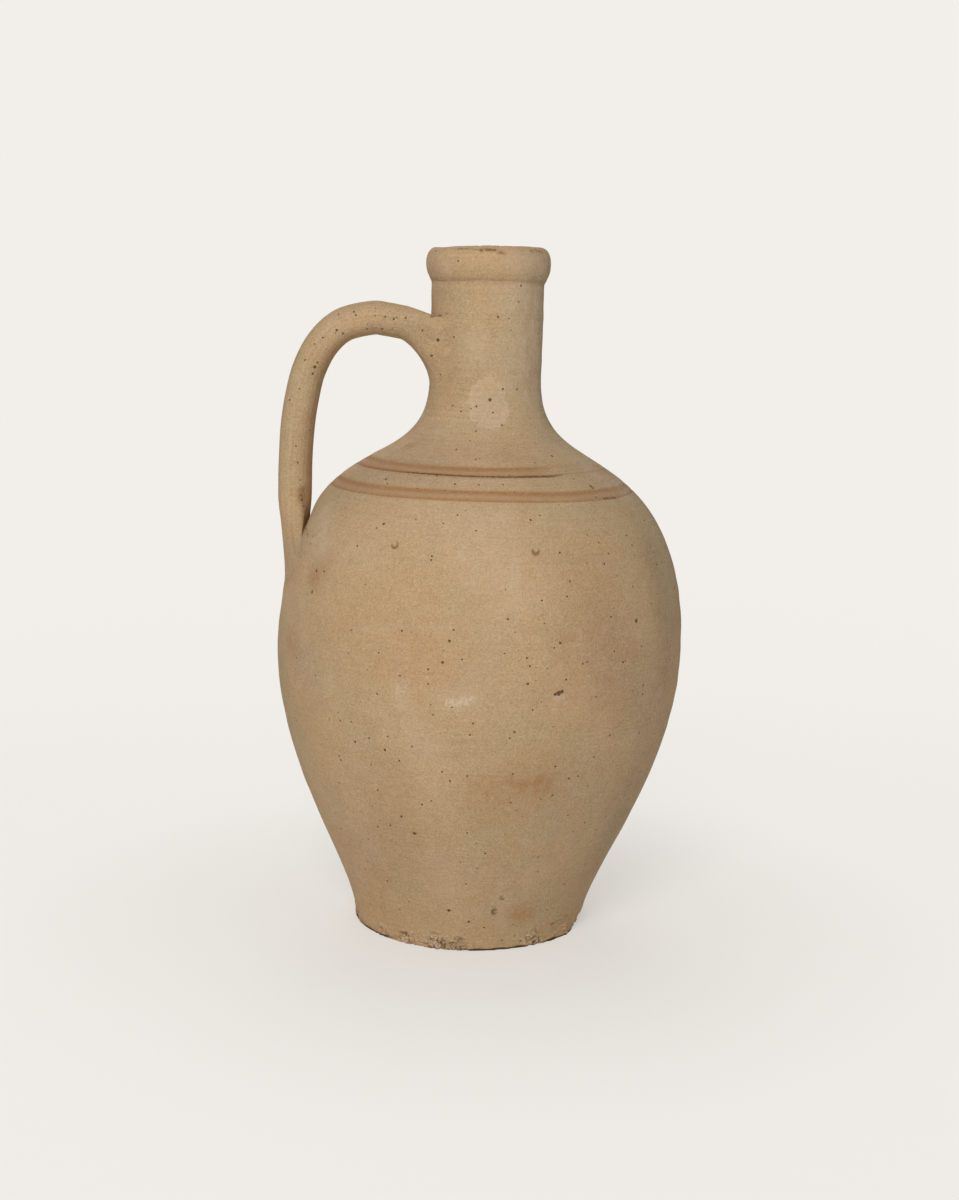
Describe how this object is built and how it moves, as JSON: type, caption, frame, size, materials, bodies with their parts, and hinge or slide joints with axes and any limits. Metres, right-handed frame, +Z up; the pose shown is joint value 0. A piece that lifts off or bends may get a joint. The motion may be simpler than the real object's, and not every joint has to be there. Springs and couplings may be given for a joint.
{
  "type": "water jar",
  "caption": "Tall unglazed terracotta water jar with a round belly, narrow neck, rolled rim and one strap handle.",
  "frame": {"origin": "centre of the flat foot, on the jar's turning axis", "axes": "+Z up along the turning axis towards the mouth; the handle lies towards -X"},
  "size_m": [0.228, 0.228, 0.38],
  "materials": {
    "body_clay": "unglazed buff terracotta, matt, with throwing lines, pits and pale patches",
    "neck_clay": "unglazed buff terracotta, matt, with fine turning lines and pinholes",
    "handle_clay": "unglazed buff terracotta, matt, pulled and smoothed by hand",
    "foot_clay": "unglazed terracotta, matt, torn and crumbled along the edge"
  },
  "bodies": {
    "root": {"base_slab": "foot_clay", "lower_body": "body_clay", "upper_body": "body_clay", "neck": "neck_clay", "rim_collar": "neck_clay", "handle": "handle_clay", "handle_root_wad": "handle_clay", "handle_foot_wad": "handle_clay"}
  },
  "joints": []
}
